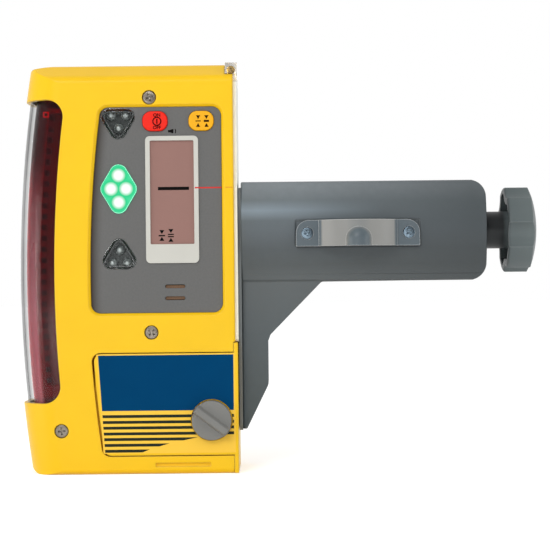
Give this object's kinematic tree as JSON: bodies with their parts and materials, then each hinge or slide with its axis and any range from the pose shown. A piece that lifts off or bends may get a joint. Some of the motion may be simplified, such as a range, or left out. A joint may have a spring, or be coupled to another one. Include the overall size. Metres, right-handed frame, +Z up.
{
  "type": "laser receiver",
  "caption": "Hand-held laser receiver with a bowed photocell window, display, signal lamps and a battery door, on a screw-driven rod clamp with a lobed knob.",
  "frame": {"origin": "middle of the receiver's base, on the surface it stands on", "axes": "+X to the right towards the rod clamp, +Y to the back, +Z up"},
  "size_m": [0.2308, 0.0671, 0.1802],
  "materials": {
    "case_yellow": "satin moulded plastic",
    "panel_grey": "matt",
    "bezel_grey": "matt",
    "clamp_grey": "fine grained",
    "holder_grey": "satin",
    "knob_grey": "satin",
    "clear_plastic": "polished",
    "red_filter": "polished, see-through",
    "lamp_clear": "polished",
    "lamp_green": "polished, lit",
    "led_epoxy": "polished",
    "display": "polished",
    "key_red": "satin",
    "key_orange": "satin",
    "board_green": "lacquered",
    "device_black": "satin",
    "black_rubber": "matt",
    "steel": "satin",
    "plated_steel": "bright plated",
    "dark_steel": "satin black",
    "cell_wrap": "gloss",
    "brass": "turned",
    "vial_fluid": "polished"
  },
  "bodies": {
    "receiver": {"front_casing": "case_yellow", "rear_casing": "case_yellow", "casing_gasket": "black_rubber", "casing_screws": "steel", "photocell_window": "clear_plastic", "red_filter": "red_filter", "photocell_board": "board_green", "photocells": "device_black", "control_panel": "panel_grey", "display_bezel": "bezel_grey", "display_glass": "display", "upper_lamp_lens": "lamp_clear", "centre_lamp_lens": "lamp_green", "lower_lamp_lens": "lamp_clear", "upper_leds": "led_epoxy", "centre_leds": "led_epoxy", "lower_leds": "led_epoxy", "key_switches": "device_black", "main_board": "board_green", "beeper": "device_black", "batteries": "cell_wrap", "battery_contacts": "plated_steel", "side_plate": "plated_steel", "side_magnets": "dark_steel", "corner_vial_block": "clear_plastic", "corner_vial": "vial_fluid"},
    "power_key": {"power_key": "key_red"},
    "deadband_key": {"deadband_key": "key_orange"},
    "battery_door": {"battery_door": "case_yellow", "door_seal": "black_rubber"},
    "thumbscrew": {"door_thumbscrew": "knob_grey", "thumbscrew_clip": "steel"},
    "rod_clamp": {"clamp_body": "clamp_grey", "mount_plate": "dark_steel", "mount_plate_screws": "steel", "vial_holder": "holder_grey", "vial_holder_screws": "steel", "plumb_vial": "vial_fluid", "fixed_jaw_pad": "black_rubber", "screw_bush": "brass"},
    "lead_screw": {"clamp_screw": "steel", "clamp_knob": "knob_grey", "thrust_washer": "steel"},
    "jaw": {"sliding_jaw": "clamp_grey", "jaw_nut": "brass", "jaw_pad": "black_rubber"}
  },
  "joints": [
    {"name": "power_press", "type": "slide", "parent": "receiver", "child": "power_key", "axis": [0, 1, 0], "range_m": [0, 0.0008], "stiffness_N_per_m": 1500},
    {"name": "deadband_press", "type": "slide", "parent": "receiver", "child": "deadband_key", "axis": [0, 1, 0], "range_m": [0, 0.0008], "stiffness_N_per_m": 1500},
    {"name": "door_lift", "type": "slide", "parent": "receiver", "child": "battery_door", "axis": [0, -1, 0], "range_m": [0, 0.06]},
    {"name": "thumbscrew_turn", "type": "hinge", "parent": "battery_door", "child": "thumbscrew", "pos_m": [0.0356, -0.021, 0.0236], "axis": [0, 1, 0], "continuous": true},
    {"name": "clamp_release", "type": "slide", "parent": "receiver", "child": "rod_clamp", "axis": [1, 0, 0], "range_m": [0, 0.05]},
    {"name": "knob_turn", "type": "hinge", "parent": "rod_clamp", "child": "lead_screw", "pos_m": [0.16, -0.001, 0.1059], "axis": [1, 0, 0], "range_deg": [-5400.1, 1440.1]},
    {"name": "jaw_slide", "type": "slide", "parent": "rod_clamp", "child": "jaw", "axis": [1, 0, 0], "range_m": [-0.045, 0.012]}
  ],
  "couplings": [
    {"joint": "knob_turn", "follows": "jaw_slide", "rad_per_m": 2094.4}
  ]
}
